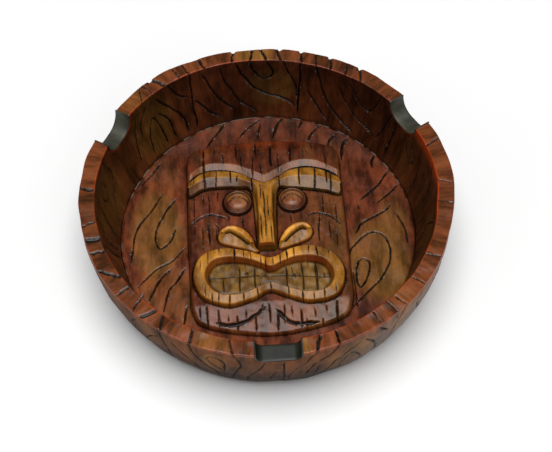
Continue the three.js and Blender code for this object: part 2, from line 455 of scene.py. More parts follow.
def stained_wood(name, stain, patch, gloss):
    """Varnished wood: streaks along the grain, stain patches, carved lines blackened by painted shade,
    dusty edges, orange painted light on edges, and painted shade and painted light over the rest.

    The stain and the patch stain are pairs of a dark and a light colour. The gloss is the varnish's
    roughness where nothing dulls it.
    """
    g = Graph(name)
    grain = g.field("grain", vector=True)
    streaks = g.noise(grain, 0.8, 6.0, 0.65)
    clouds = g.noise(grain, 0.17, 4.0, 0.6)
    patches = g.noise(grain, 0.06, 2.0, 0.5)
    fine = g.noise(grain, 3.5, 4.0, 0.6)
    tone = g.maths("ADD", g.maths("MULTIPLY", streaks, 0.25), g.maths("MULTIPLY", clouds, 0.75))
    main = g.mix(g.spread(tone, 0.4, 0.62), *stain)
    other = g.mix(g.spread(tone, 0.38, 0.64), *patch)
    # Stain patches, which in places also warm painted light.
    uneven = g.maths("MULTIPLY", g.field("amber"), g.spread(patches, 0.3, 0.6, 0.7, 1.1))
    colour = g.mix(uneven, main, other)
    # Orange painted light on edges, here and there used as a tint.
    colour = g.mix(g.field("glow"), colour, LIGHT_AND_TINT_ORANGE)
    # Painted shade darkens the colour above 0 and painted light lightens it below 0, with random tone.
    colour = g.times(colour, g.spread(g.field("shade"), -1.0, 1.0, 1.88, 0.12))
    colour = g.times(colour, g.spread(fine, 0.35, 0.65, 0.82, 1.08))
    ink = g.field("ink")
    # Painted shade: carved lines are mixed towards black.
    colour = g.mix(ink, colour, GROOVE_SHADE_BLACK)
    dusty = g.maths("MULTIPLY", g.field("dust"), g.spread(fine, 0.35, 0.55))
    colour = g.mix(dusty, colour, DUST)
    varnish = g.spread(clouds, 0.3, 0.7, gloss - 0.05, gloss + 0.08)
    dull = g.maths("MAXIMUM", g.field("matte"), g.maths("MULTIPLY", ink, 0.2))
    rough = g.spread(dull, 0.0, 1.0, varnish, 0.85)
    bump = g.bump(streaks, 0.25, 0.0002)
    return g.shade(Base_Color=colour, Roughness=rough, Normal=bump, Specular_IOR_Level=0.3)


def lining():
    """The dark grey skin of a rest, satin, with faint smoky clouds."""
    g = Graph("rest_lining")
    place = g.node("TexCoord").outputs["Object"]
    clouds = g.noise(place, 140.0, 3.0)
    grit = g.noise(place, 2500.0, 2.0)
    colour = g.mix(g.spread(clouds, 0.35, 0.65), rgb(38, 40, 31), rgb(65, 64, 50))
    colour = g.times(colour, g.spread(g.field("shade"), 0.0, 1.0, 1.0, 0.1))
    bump = g.bump(grit, 0.1, 0.0001)
    rough = g.spread(clouds, 0.3, 0.7, 0.4, 0.52)
    return g.shade(Base_Color=colour, Roughness=rough, Normal=bump, Specular_IOR_Level=0.4)


def felt():
    """Dark felt: short fibres that scatter the light."""
    g = Graph("base_felt")
    place = g.node("TexCoord").outputs["Object"]
    fibres = g.noise(place, 1800.0, 5.0, 0.8)
    clumps = g.noise(place, 220.0, 3.0)
    colour = g.mix(g.spread(fibres, 0.3, 0.7), rgb(20, 24, 21), rgb(52, 58, 52))
    colour = g.mix(g.spread(clumps, 0.35, 0.7, 0.0, 0.35), colour, rgb(70, 74, 66))
    bump = g.bump(fibres, 0.8, 0.0004)
    return g.shade(Base_Color=colour, Roughness=0.95, Normal=bump, Sheen_Weight=0.4)


RED = (rgb(62, 27, 13), rgb(134, 65, 35))
AMBER = (rgb(118, 72, 18), rgb(186, 128, 48))
OLIVE = (rgb(84, 54, 19), rgb(136, 90, 40))
EYE_BROWN = (rgb(98, 52, 30), rgb(144, 91, 60))
TEETH_GOLD = (rgb(88, 56, 18), rgb(140, 102, 40))
MATERIALS = {
    "red_wood": stained_wood("red_wood", RED, OLIVE, 0.25),
    "amber_wood": stained_wood("amber_wood", AMBER, OLIVE, 0.26),
    "eye_wood": stained_wood("eye_wood", EYE_BROWN, AMBER, 0.26),
    "teeth_wood": stained_wood("teeth_wood", TEETH_GOLD, AMBER, 0.4),
    "rest_lining": lining(),
    "base_felt": felt(),
}


# Bowl wall: a ring whose carved lines are listed by heading, in degrees, and depth

# How far the rim bulges, as (degrees, outer radius less the rim's, inner radius less the rim's).
RIM_SHAPE = [
    (-90, 0.2, 0.0), (-65, 0.0, 0.0), (-45, -0.1, 0.0), (-30, -0.4, -0.2), (-19, -0.75, -0.4),
    (-9, -0.5, -0.2), (0, 0.2, 0.1), (15, 0.2, 0.0), (45, -0.1, -0.1), (70, 0.0, -0.2), (88, 0.3, -0.1),
    (100, 0.5, 0.5), (114, 1.0, 1.1), (122, 1.5, 1.1), (132, 1.3, 1.1), (142, 0.8, 0.9), (157, 0.3, 0.4),
    (175, 0.3, 0.5), (188, -0.2, 0.2), (202, -0.3, 0.0), (216, -0.1, 0.0), (230, 0.0, 0.1),
    (250, 0.2, 0.1),
]

# Lines across the rim: (half width, degrees at the outer edge, degrees at the inner edge).
RIM_LINES = [
    (0.75, -79.2, -76.4), (0.6, -72.2, -71.8), (0.35, -58.6, -58.2), (0.35, -52.6, -52.4),
    (0.45, -48.6, -49.4), (0.45, -39.8, -40.4), (0.6, -29.0, -30.7), (0.4, -9.0, -8.6), (0.5, -1.3, 0.2),
    (0.7, 16.6, 14.6), (0.3, 40.4, 39.8), (0.35, 46.8, 50.6), (0.65, 54.2, 51.0), (0.45, 59.2, 57.3),
    (0.75, 64.9, 62.9), (0.5, 70.1, 68.7), (0.55, 75.0, 74.2), (0.7, 83.8, 81.0), (0.7, 88.9, 86.8),
    (0.75, 91.3, 92.9), (0.6, 97.6, 99.6), (0.6, 110.1, 109.1), (0.4, 115.8, 115.2), (0.3, 119.2, 118.8),
    (0.65, 127.4, 124.6), (0.3, 130.8, 130.4), (0.35, 132.3, 135.8), (0.5, 175.3, 176.6),
    (0.35, 190.2, 188.4), (0.65, 195.3, 196.3), (0.5, 200.1, 201.1), (0.6, 207.0, 212.9),
    (0.35, 217.0, 217.4), (0.4, 224.2, 222.9), (0.6, 227.3, 230.2), (0.6, 234.6, 232.3),
    (0.55, 244.1, 242.9), (0.5, 256.7, 255.0),
]

# Headings of the wider nicks in the rim's outer edge.
RIM_NICKS = [54.4, 65.2, 75.2, 82.4, 98.0, 127.8]
NICK_WIDTH = 1.3

# Lines on the inner wall: (half width, [(degrees, depth below the rim), ...]).
INNER_LINES = [
    (0.6, [(87, 0.5), (84.5, 8), (88.5, 11.3), (92, 5), (92.8, 0.5)]),
    (0.6, [(75.5, 24.5), (78, 22.5), (82, 20.5), (86, 19.5), (90, 17), (93, 14), (96, 8), (98, 1)]),
    (0.5, [(81, 0), (78.5, 8), (76, 14), (75.5, 20)]),
    (0.6, [(74.5, 0), (74.6, 28)]),
    (0.55, [(68.8, 0), (67, 8), (64, 17), (60, 22), (55, 26), (50, 28)]),
    (0.45, [(71, 15), (68.5, 20), (65, 25), (61, 28)]),
    (0.45, [(60, 8), (56, 15), (51, 20), (45, 22.5), (41, 24)]),
    (0.5, [(35, 5), (37, 12), (38.5, 19), (40, 24)]),
    (0.5, [(33, 9), (33, 15), (33.5, 28)]),
    (0.45, [(41.5, 0), (43.5, 8), (46, 14), (50, 12), (56, 4)]),
    (0.4, [(24, 10), (25.5, 12.5), (24, 16.5), (21, 19), (19, 18), (20, 13), (24, 10)]),
    (0.4, [(16.5, 9), (15.5, 14), (14, 20), (14, 27)]),
    (0.45, [(7.5, 1), (6, 8), (4, 14), (4, 22)]),
    (0.45, [(104, 2), (103, 8), (101, 14), (98.5, 20), (94, 25), (91, 28)]),
    (0.5, [(110.5, 3), (108, 12), (105.5, 18), (103, 22), (100, 25)]),
    (0.45, [(115, 15), (112, 20), (109.5, 24), (106, 27)]),
    (0.5, [(115, 0), (116.3, 28)]),
    (0.5, [(124.5, 0), (122.5, 5), (120, 10), (117, 12.5)]),
    (0.5, [(130, 3), (128, 8), (125, 13), (122, 18), (120.5, 23), (120.5, 28)]),
    (0.45, [(130, 12), (127, 18), (126, 28)]),
    (0.45, [(130.5, 28), (131, 18), (133, 12.5), (136.5, 19), (138, 27)]),
    (0.45, [(134, 3), (137, 7), (139, 11), (140, 17)]),
    (0.45, [(139.5, 3), (142, 11), (143.5, 17), (145, 25)]),
    (0.5, [(157.8, 0), (157.5, 4)]),
    (0.4, [(164, 1), (162, 8), (161, 13), (163.5, 17), (167, 23), (169, 26)]),
    (0.4, [(168, 8), (167.5, 13), (169.5, 17), (172, 15), (172, 10), (168, 8)]),
    (0.45, [(176, 0), (175, 7), (178, 15), (180, 26)]),
    (0.45, [(186, 2), (184, 12), (187, 20), (186, 28)]),
    (0.5, [(196, 0), (194, 9), (191, 17), (190, 27)]),
    (0.4, [(203, 6), (200, 13), (201, 20), (205, 23), (208, 18), (207, 10), (203, 6)]),
    (0.5, [(212.5, 0), (214, 8), (212, 18), (213, 28)]),
    (0.45, [(222.9, 0), (221, 9), (223, 20), (221, 28)]),
    (0.5, [(232.3, 0), (234, 10), (231, 20), (232, 28)]),
    (0.45, [(243, 0), (241, 8), (244, 17), (243, 27)]),
    (0.4, [(250, 6), (253, 13), (251, 22)]),
    (0.45, [(262, 9), (260, 17), (262, 27)]),
    (0.5, [(271, 8), (273, 17), (271, 28)]),
    (0.5, [(283.6, 0), (282, 10), (284, 19), (281, 28)]),
    (0.4, [(291, 4), (289, 11), (291, 17), (294, 14), (293, 7), (291, 4)]),
    (0.45, [(301.5, 0), (303, 10), (300, 20), (302, 28)]),
    (0.5, [(311, 0), (309, 9), (312, 18), (310, 28)]),
    (0.5, [(319.6, 0), (321, 8), (318, 17), (320, 27)]),
    (0.5, [(329.3, 0), (331, 10), (328, 19), (330, 28)]),
    (0.4, [(338, 5), (341, 13), (339, 23)]),
    (0.45, [(351.4, 0), (349, 9), (352, 19), (350, 28)]),
]

# Lines on the outer wall: (half width, [(degrees, depth below the rim), ...]).
OUTER_LINES = [
    (0.55, [(-134.6, 5), (-137.3, 10), (-138, 18)]),
    (0.5, [(-126.5, 6), (-130.4, 12.4), (-133, 18.6), (-134, 26)]),
    (0.55, [(-126.2, 1), (-125, 10), (-124.6, 23), (-125, 31)]),
    (0.45, [(-122, 5), (-119.2, 12.4), (-117, 18), (-115, 26)]),
    (0.6, [(-116.5, 0.5), (-114.6, 8), (-112.3, 15), (-110, 20), (-108.5, 28)]),
    (0.5, [(-111.2, 7.4), (-109.2, 5.2), (-106.2, 8.3), (-106, 13.6), (-106.5, 18), (-110, 11.4),
           (-111.2, 7.4)]),
    (0.55, [(-103.5, 0), (-101.4, 5.5), (-101.2, 10), (-102.3, 15.5), (-103.8, 22.4), (-104.6, 29)]),
    (0.4, [(-93.8, 5), (-95.8, 11.8), (-97.7, 17.4), (-99.2, 23), (-100, 30)]),
    (0.4, [(-90.4, 14), (-92, 19.3), (-93.2, 29)]),
    (0.5, [(-88.5, 5), (-88.5, 32)]),
    (0.4, [(-84.2, 10.5), (-85.8, 15.5), (-86.8, 21), (-87, 29)]),
    (0.5, [(-78.5, 0.5), (-80.4, 3.6), (-83, 9.3)]),
    (0.55, [(-72.3, 0), (-74.6, 5), (-78.8, 10.5), (-80.8, 16), (-82, 21.8)]),
    (0.4, [(-78, 14), (-79, 24), (-78.5, 31)]),
    (0.6, [(-65.4, 5.2), (-69.2, 8.6), (-72.7, 14.3), (-74.2, 20), (-75.4, 29)]),
    (0.5, [(-64.2, 5), (-61, 11), (-59.6, 16), (-58.5, 21.8), (-58, 29)]),
    (0.45, [(-70.4, 29), (-70.4, 20), (-68, 12.5), (-65, 18), (-63.8, 25), (-63.5, 31)]),
    (0.65, [(-59.2, 1.8), (-57.7, 5.5), (-55.8, 9.3)]),
    (0.4, [(-53, 1), (-52.3, 6)]),
    (0.5, [(-48.5, 0), (-50.8, 5.5), (-52.7, 12), (-53, 20)]),
]

# From this heading on, the outer wall's far side repeats a few shapes of line.
BACK_START = -42
BACK_STEP = 7.4
BACK_COUNT = 24
BACK_SHAPES = [
    [(0, 0), (-1.8, 8), (0.6, 17), (-1.0, 27)],
    [(0, 5), (1.6, 12), (-0.4, 20), (0.8, 30)],
    [(-2, 14), (0, 7), (2, 14), (1.2, 22), (-1.2, 22), (-2, 14)],
    [(0, 0), (1.6, 6), (3.4, 13), (4.4, 22), (4.2, 30)],
    [(0, 0), (-1.0, 10), (-0.6, 20), (-1.2, 31)],
]

# Amber patches: on the walls (degrees, depth, half width, half height, strength), and on the rim
# (degrees, half width, strength).
WALL_AMBER = [
    (85.5, 15, 8, 9, 0.75), (135, 13, 9, 14, 0.75), (172, 15, 12, 13, 0.7), (22, 16, 4, 8, 0.3),
    (206, 15, 8, 11, 0.6), (292, 12, 7, 10, 0.6), (345, 14, 8, 12, 0.5),
]
RIM_AMBER = [(91, 6, 0.9), (137, 4, 0.35), (250.5, 5, 0.5), (277.5, 1.6, 0.7), (312, 4, 0.2)]
SIDE_AMBER = [
    (-67, 17, 8, 13, 0.85), (-108.5, 11, 4, 8, 0.9), (-132, 12, 5, 9, 0.3), (-48, 10, 6, 10, 0.4),
    (10, 15, 9, 12, 0.7), (75, 14, 8, 12, 0.6), (140, 16, 9, 12, 0.7), (200, 14, 8, 12, 0.6),
]


def arc(r, z, radius, start, end, steps):
    """Points (r, z) round a centre, from one angle to another."""
    turn = np.radians(np.linspace(start, end, steps))
    return np.column_stack([r + radius * np.cos(turn), z + radius * np.sin(turn)])


def run(a, b, step):
    """Points on a straight line from a to b, without b."""
    count = max(1, round(math.dist(a, b) / step))
    return np.array(a) + np.arange(count)[:, None] / count * (np.array(b) - np.array(a))


def inside_point(depth):
    lean = (RIM_INNER - WALL_FOOT) * (depth / (RIM_TOP - FLOOR_TOP)) ** 2
    return np.column_stack([RIM_INNER - lean, RIM_TOP - depth])


def side_point(depth):
    return np.column_stack([RIM_RADIUS * (1 - SIDE_SAG * (depth / RIM_RADIUS) ** 2), RIM_TOP - depth])


def wall_profile():
    """The wall's section, from the foot up the outside, over the rim and down the inside.

    It gives the radius, the height, and for each point its path: 0 at the rim's outer edge, minus
    the depth on the outside, and more across the rim and down the inside.
    """
    side = side_point(np.arange(SIDE_DEPTH, 1.2, -1.1 * PROFILE_STEP))
    corner = [side[0, 0] - CORNER_REACH, UNDERSIDE]
    t = np.linspace(1, 0, 20, endpoint=False)[:, None]
    bend = (1 - t) ** 2 * side[0] + 2 * t * (1 - t) * corner + t**2 * [UNDERSIDE_RADIUS, UNDERSIDE]
    foot = bend[bend[:, 0] > LEDGE_RADIUS]
    outer = arc(RIM_RADIUS - OUTER_ROUND, RIM_TOP - OUTER_ROUND, OUTER_ROUND, 0, 90, 6)
    inner = arc(RIM_INNER + INNER_ROUND, RIM_TOP - INNER_ROUND, INNER_ROUND, 90, 180, 5)
    rim = run(outer[-1], inner[0], 0.9 * PROFILE_STEP)[1:]
    seen = np.arange(INNER_ROUND + PROFILE_STEP, RIM_TOP - FLOOR_TOP - 0.2, PROFILE_STEP)
    hidden = [
        (WALL_FOOT, FLOOR_TOP), (WALL_FOOT, LEDGE_TOP), (LEDGE_RADIUS, LEDGE_TOP),
        (LEDGE_RADIUS, UNDERSIDE + 0.16),
    ]
    outside = np.vstack([foot, side, outer[:3]])
    across = np.vstack([outer[3:], rim, inner[:3]])
    within = np.vstack([inner[3:], inside_point(seen), hidden])
    down = RIM_WIDTH + RIM_TOP - within[:, 1]
    path = np.concatenate([outside[:, 1] - RIM_TOP, RIM_RADIUS - across[:, 0], down])
    return np.vstack([outside, across, within]), path


def wall_lines():
    """All the wall's lines, as (half width, [(degrees, path), ...])."""
    lines = []
    for width, outer, inner in RIM_LINES:
        middle = ((outer + inner) / 2, RIM_WIDTH / 2)
        line = [(outer, -0.9), (outer, 0.3), middle, (inner, RIM_WIDTH + 0.9)]
        lines.append((RIM_FINENESS * width, line))
    lines += [(NICK_WIDTH, [(outer, -2.2), (outer, 1.2)]) for outer in RIM_NICKS]
    lines += [(width, [(a, RIM_WIDTH + d) for a, d in line]) for width, line in INNER_LINES]
    lines += [(width, [(a, -d) for a, d in line]) for width, line in OUTER_LINES]
    rng = np.random.default_rng(5)
    for i in range(BACK_COUNT):
        shape = BACK_SHAPES[i % len(BACK_SHAPES)]
        heading = BACK_START + i * BACK_STEP + rng.uniform(-1.2, 1.2)
        lines.append((rng.uniform(0.4, 0.6), [(heading + a, -d) for a, d in shape]))
        if i % 2:
            lines.append((0.35, [(heading + 3.6 + a / 2, -d) for a, d in BACK_SHAPES[1]]))
    return lines


def rim_blocks(degrees, share):
    """Which of the rim's blocks each point is on. They lie between the lines across the rim."""
    block = np.zeros(degrees.shape, int)
    for _, outer, inner in RIM_LINES:
        block += (degrees + 90) % 360 - 90 > outer + share * (inner - outer)
    return block % len(RIM_LINES)


def rim_bulge(degrees, column):
    """How far the rim bulges at its outer edge, for column 1, or its inner edge, for column 2."""
    table = np.array(RIM_SHAPE)
    return np.interp(degrees, table[:, 0], table[:, column], period=360)


def spread_lines(lines):
    """The lines and their copies a full turn away, less those that miss -180 to 180 degrees."""
    made = []
    for width, line in lines:
        points = np.array(line, float)
        for turn in (-360, 0, 360):
            moved = points + [turn, 0]
            if moved[:, 0].max() > -184 and moved[:, 0].min() < 184:
                made.append((width, moved))
    return made


def beside_rest(turned, down, depth):
    """Where painted light edges a rest's channel: 1 right beside it, fading to 0 a millimetre away."""
    across = RIM_INNER * np.radians((turned + 180) % 360 - 180)
    section = rest_section(REST_HALF + LINER, depth + LINER, 0)
    near = np.abs(across) < 3 * REST_HALF
    made = np.zeros(len(across))
    made[near] = ease(1.3, 0.4, near_line(np.column_stack([across, -down])[near], section)[0])
    return made


def wall_colour_and_light(angle, along, place, tone):
    """The wall's colour fields, with its painted light and shade, from the heading, path and place of each
    point.

    The tone is a random shade of -1 to 1 for the block of the rim that the point is on.
    """
    x, y, _ = place.T
    heading = angle % 360
    down = along - RIM_WIDTH
    inner, side = along > RIM_WIDTH - 0.2, along < 0.2
    on_rim = ~inner & ~side
    right = ease(0, 1, 1.6 - np.abs((angle - 2) / 22))
    left = ease(-30, -55, x)
    front_right = ease(-80, -55, angle) * ease(0, -30, angle)
    back_left = ease(30, 50, y) * ease(30, 0, x)
    turns = [blobs(np.column_stack([angle + turn, -along]), SIDE_AMBER) for turn in (0, 360)]
    spots = side * np.maximum(*turns)
    gold = np.zeros(len(angle))
    for centre, half, strength in RIM_AMBER:
        gold += on_rim * strength * ease(0, 1, 1.5 - np.abs(heading - centre) / half)

    patches = blobs(np.column_stack([heading, down]), WALL_AMBER)
    # Stain patches; on the inner wall's left and right they also warm the painted light there.
    amber = inner * (patches + 0.12 + 0.25 * left + 0.25 * right)
    amber += on_rim * (0.24 + gold) + side * (0.5 + spots)

    # Painted light: orange on the rim's edges, beside the rests and in a band under the rim on the right.
    glow = np.exp(-((down / 0.55) ** 2)) * (0.5 + 0.3 * ripple(place, 20, 21))
    glow = np.maximum(glow, inner * right * ease(7, 0.5, down))
    for rest, deep in RESTS.values():
        glow = np.maximum(glow, 0.6 * inner * beside_rest(angle - rest, down, deep))
    glow = np.maximum(glow, 0.45 * np.exp(-(((along + 0.2) / 0.5) ** 2)))

    # Painted shade inside the bowl, lifted in that band and on the lit left side, deeper on the right.
    shade = inner * (0.63 + 0.1 * ripple(place, 30, 31) - right * ease(8, 1, down))
    shade += inner * (0.1 * ease(20, 50, x) - 0.12 * left)
    # Painted shade darkens the outside downwards, with painted light on its front right; knots are
    # lighter.
    shade += side * (0.05 + 0.85 * ease(3, 28, -along) - 0.3 * front_right - 0.35 * spots)
    # The rim gets a random tone for each block and is drawn lighter at the front, back left and on gold.
    shade += on_rim * (0.1 + 0.16 * tone - 0.25 * ease(-10, -50, y) - 0.15 * back_left - 0.5 * gold)
    return {
        "amber": np.clip(amber, 0, 1),
        "glow": np.clip(glow, 0, 1),
        "shade": np.clip(shade, -1, 1),
        "matte": ease(0, -2, along) * (1 - 0.55 * front_right),
    }


def bowl_wall():
    profile, path = wall_profile()
    degrees = np.arange(ROUND_STEPS) * 360 / ROUND_STEPS - 180
    rows, columns = len(profile), len(degrees)
    angle, along = np.meshgrid(degrees, path)
    radius = np.repeat(profile[:, :1], columns, axis=1)
    height = np.repeat(profile[:, 1:], columns, axis=1)
    # The bulge of the rim fades down both sides of the wall.
    fade = ease(-26, -2, along) * ease(-28 - RIM_WIDTH, -2, -along)
    share = np.clip(along / RIM_WIDTH, 0, 1)
    radius = radius + fade * ((1 - share) * rim_bulge(angle, 1) + share * rim_bulge(angle, 2))

    # Lines are carved on the wall laid flat: millimetres round it and along the path.
    order = np.argsort(path)
    scale = np.interp(path, path[order], profile[order, 0]) * math.pi / 180

    def stretch(curve):
        round_wall = curve[:, 0] * np.interp(curve[:, 1], path[order], scale[order])
        return np.column_stack([round_wall, curve[:, 1]])

    flat = np.column_stack([(angle * scale[:, None]).ravel(), along.ravel()])
    depth, ink, dust = carve(flat, spread_lines(wall_lines()), stretch=stretch)
    turn = np.radians(angle)
    x, y = RIM_RADIUS * np.cos(turn), RIM_RADIUS * np.sin(turn)
    place = np.column_stack([x.ravel(), y.ravel(), along.ravel()])
    seen = (along > -39) & (along < RIM_WIDTH + RIM_TOP - FLOOR_TOP - 0.2)
    lumps = 0.16 * ripple(place, 17, 11) + 0.07 * ripple(place, 6, 12)
    block = rim_blocks(angle, share)
    rng = np.random.default_rng(8)
    settled = rng.uniform(0, BLOCK_DROP, len(RIM_LINES))[block]
    settled *= ease(-3, 0, along) * ease(-3 - RIM_WIDTH, -RIM_WIDTH, -along)
    tone = rng.uniform(-1, 1, len(RIM_LINES))[block].ravel()
    push = (lumps - depth - settled.ravel()) * seen.ravel()

    # The surface is pushed along its own normal, in the plane of the section.
    tangent = headings(profile)
    push = push.reshape(rows, columns)
    radius = radius + push * tangent[:, 1:]
    height = np.minimum(height - push * tangent[:, :1], RIM_TOP)
    vertices = np.stack([radius * np.cos(turn), radius * np.sin(turn), height], axis=-1).reshape(-1, 3)
    index = np.arange(rows * columns).reshape(rows, columns)
    faces = cells(np.pad(index, (0, 1), "wrap")).tolist()

    fields = wall_colour_and_light(angle.ravel(), along.ravel(), place, tone)
    fields.update(grain=place * [1, 1, 0.25], ink=ink, dust=0.5 * dust)
    wall = new_piece("carved_wall", "bowl_wall", "red_wood", vertices, faces, fields)
    for heading, deep in RESTS.values():
        notch(wall, heading, deep + LINER + LINER_GAP)
    return wall


def rest_section(half, depth, above, steps=14):
    """Points (across, height) round a rest's section, from one side to the other."""
    corner = min(half, depth) - 0.5
    left = arc(corner - half, corner - depth, corner, 180, 270, steps)
    right = arc(half - corner, corner - depth, corner, 270, 360, steps)
    return np.vstack([[(-half, above)], left, right, [(half, above)]])


def placed(across, out, height, heading):
    """Points across, out from the axis and above the rim, turned to a rest's heading."""
    turn = math.radians(heading)
    x = out * math.cos(turn) - across * math.sin(turn)
    y = out * math.sin(turn) + across * math.cos(turn)
    return np.stack([x, y, height + RIM_TOP], axis=-1)


def notch(wall, heading, depth):
    """Cuts a rest's channel through the wall."""
    across, height = rest_section(REST_HALF + LINER + LINER_GAP, depth, CUT_ABOVE).T
    count = len(across)
    ends = [placed(across, np.full(count, out), height, heading) for out in (CUT_START, CUT_END)]
    mesh = bpy.data.meshes.new("cutter")
    sides = [(i, (i + 1) % count, count + (i + 1) % count, count + i) for i in range(count)]
    caps = [tuple(range(count))[::-1], tuple(range(count, 2 * count))]
    mesh.from_pydata((np.vstack(ends) * MM).tolist(), [], sides + caps)
    cutter = add_object("cutter", mesh)
    cut = wall.modifiers.new("notch", "BOOLEAN")
    cut.operation, cut.solver, cut.object = "DIFFERENCE", "EXACT", cutter
    depsgraph = bpy.context.evaluated_depsgraph_get()
    made = bpy.data.meshes.new_from_object(wall.evaluated_get(depsgraph), depsgraph=depsgraph)
    wall.modifiers.clear()
    old, wall.data = wall.data, made
    bpy.data.meshes.remove(old)
    bpy.data.objects.remove(cutter)
    bpy.data.meshes.remove(mesh)


def wall_radius(degrees, height, inner):
    """The radius of the wall's face at a height, with the rim's bulge."""
    depth = RIM_TOP - height
    if inner:
        return inside_point(depth)[:, 0] + ease(28, 2, depth) * rim_bulge(degrees, 2)
    return side_point(depth)[:, 0] + ease(26, 2, depth) * rim_bulge(degrees, 1)


def rest_liner(side):
    """A thin skin in a rest, flush with both faces of the wall."""
    heading, depth = RESTS[side]
    inner, outer = (rest_section(REST_HALF + out, depth + out, -0.05) for out in (0, LINER))
    shares = np.concatenate([[0, 0.03], np.linspace(0.1, 0.9, 9), [0.97, 1]])
    skins = []
    for section in (inner, outer):
        across, height = section.T
        degrees = heading + np.degrees(np.arcsin(across / RIM_RADIUS))
        radii = [wall_radius(degrees, height + RIM_TOP, face) for face in (True, False)]
        near, far = (np.sqrt(radius**2 - across**2) for radius in radii)
        out = near[:, None] + shares * (far - near)[:, None]
        round_off = 0.25 * rounded(np.minimum(shares, 1 - shares) / 0.1, 1)
        lowered = height[:, None] - (round_off if section is inner else 0 * shares)
        skins.append(placed(np.repeat(across[:, None], len(shares), 1), out, lowered, heading))
    rows, columns = skins[0].shape[:2]
    index = np.arange(rows * columns).reshape(rows, columns)
    top = cells(index.T)
    lower = top[:, ::-1] + rows * columns
    border = np.concatenate([index[0, :-1], index[:-1, -1], index[-1, :0:-1], index[:0:-1, 0]])
    after = np.roll(border, -1)
    rim = np.column_stack([border, after, after + rows * columns, border + rows * columns])
    faces = np.vstack([top, lower, rim]).tolist()
    vertices = np.vstack([s.reshape(-1, 3) for s in skins])
    fields = {"shade": np.full(len(vertices), 0.7 if side == "front" else 0.0)}
    name, node = f"{side}_liner_skin", f"{side}_rest_liner"
    return new_piece(name, node, "rest_lining", vertices, faces, fields)


# Floor

# Lines: (half width, [(x, y), ...]).
FLOOR_LINES = [
    (0.5, [(-15, 60), (-20, 52), (-25, 45)]),
    (0.55, [(0, 60), (-6, 55), (-10, 50)]),
    (0.45, [(0, 58), (-2, 48)]),
    (0.8, [(10, 60), (7, 55), (5, 49)]),
    (0.5, [(19, 58), (16.5, 53.5)]),
    (0.55, [(27, 55), (22, 50), (20, 45)]),
    (0.6, [(34, 50), (30, 46), (28, 41)]),
    (0.85, [(38, 47), (35, 42), (34, 35)]),
    (0.75, [(49, 37), (47, 33), (47, 30)]),
    (0.6, [(54, 28), (48, 20), (40, 13)]),
    (0.5, [(39, 11), (39, 8.5)]),
    (0.55, [(57, 20), (52, 15), (47, 11)]),
    (0.6, [(53, 10), (50, 7), (43, 3), (39, 0), (36.5, -4)]),
    (0.5, [(54, 6), (57, -2), (57.5, -10)]),
    (0.5, [(32.5, -15), (34, -11), (38, -7), (43, -3.8), (47, -5), (49.5, -9), (50, -15),
           (48, -21), (44, -27), (38, -33), (32, -39)]),
    (0.4, [(33.8, -22), (33.8, -40)]),
    (0.55, [(38, -16), (40.5, -18), (40.5, -22), (38.5, -27), (36, -30), (34.8, -27), (35, -22),
            (36.5, -17.5), (38, -16)]),
    (0.45, [(-44, 39), (-48, 33), (-53, 27)]),
    (0.5, [(-44, 22), (-49, 13), (-54, 6), (-56, 0), (-56.5, -6), (-57, -12)]),
    (0.5, [(-38, 19), (-43, 12), (-46.5, 4), (-47, -2), (-45, -6), (-41, -2), (-38, 4)]),
    (0.45, [(-35, -6), (-40, -12), (-47, -16), (-51, -20), (-54, -24)]),
    (0.55, [(-41, -16), (-46, -22), (-50, -31)]),
    (0.55, [(-35, -16), (-38, -21), (-42, -27), (-44, -36)]),
    (0.7, [(-34.6, -34), (-36, -42)]),
    (0.4, [(-52, -27), (-54, -31)]),
    (0.45, [(-30, -49), (-34, -51)]),
    (0.5, [(36, -47), (33, -51)]),
    (0.45, [(10, -53), (12, -59)]),
    (0.45, [(-8, -54), (-10, -60)]),
]
FLOOR_AMBER = [
    (-47, 2, 10, 21, 0.8), (-44, 30, 7, 10, 0.25), (-42, -30, 14, 14, 0.35), (45, -17, 12, 19, 0.85),
    (53, 0, 6, 10, 0.5),
]


def circle(radius, step):
    turn = np.arange(0, 2 * math.pi, step / radius)
    return np.column_stack([radius * np.cos(turn), radius * np.sin(turn)])


def floor_surface(points, _):
    from_panel = edge_gap(points, [PANEL_RING])
    under = inside(points, [PANEL_RING]) | (from_panel < 0.25)
    depth, ink, dust = carve(points, FLOOR_LINES)
    x, y = points.T
    away = np.hypot(x, y)
    heading = np.degrees(np.arctan2(y, x))
    lumps = 0.1 * ripple(points, 18, 51) + 0.03 * ripple(points, 6, 52)
    height = FLOOR_TOP - FLOOR_SINK + lumps * ease(0, 3, FLOOR_EDGE - away) - depth
    height = np.where(under, FLOOR_TOP - POCKET_DEPTH, height)
    height -= 0.35 * ease(1.0, 0, FLOOR_EDGE - away)
    seam = ease(0.8, 0.2, FLOOR_EDGE - away)
    back = ease(5, 25, heading) * ease(178, 150, heading) + 0.5 * ease(-150, -170, heading)
    grime = 0.5 * seam * back * ease(-0.2, 0.5, ripple(points, 4, 53))
    # Painted shade in the corner by the wall and on the floor round the face panel, with random tone.
    panel_edge = ease(1.6, 0.2, from_panel) * ~under
    shade = 0.55 * seam + 0.45 * panel_edge + 0.12 * ease(0, 1, ripple(points, 25, 54))
    # Painted shadow at the back and right, where the walls keep light off; painted light at the front
    # left.
    shade += 0.36 * ease(20, 50, y) + 0.14 * ease(20, 40, x)
    shade -= 0.22 * ease(-20, -40, x) * ease(10, -10, y)
    amber = blobs(points, FLOOR_AMBER) + 0.25 * ease(0.3, 1, ripple(points, 22, 55))
    shade -= 0.3 * blobs(points, FLOOR_AMBER[3:])
    return height, paint(points, ink=ink, dust=dust + grime, amber=amber, shade=shade)


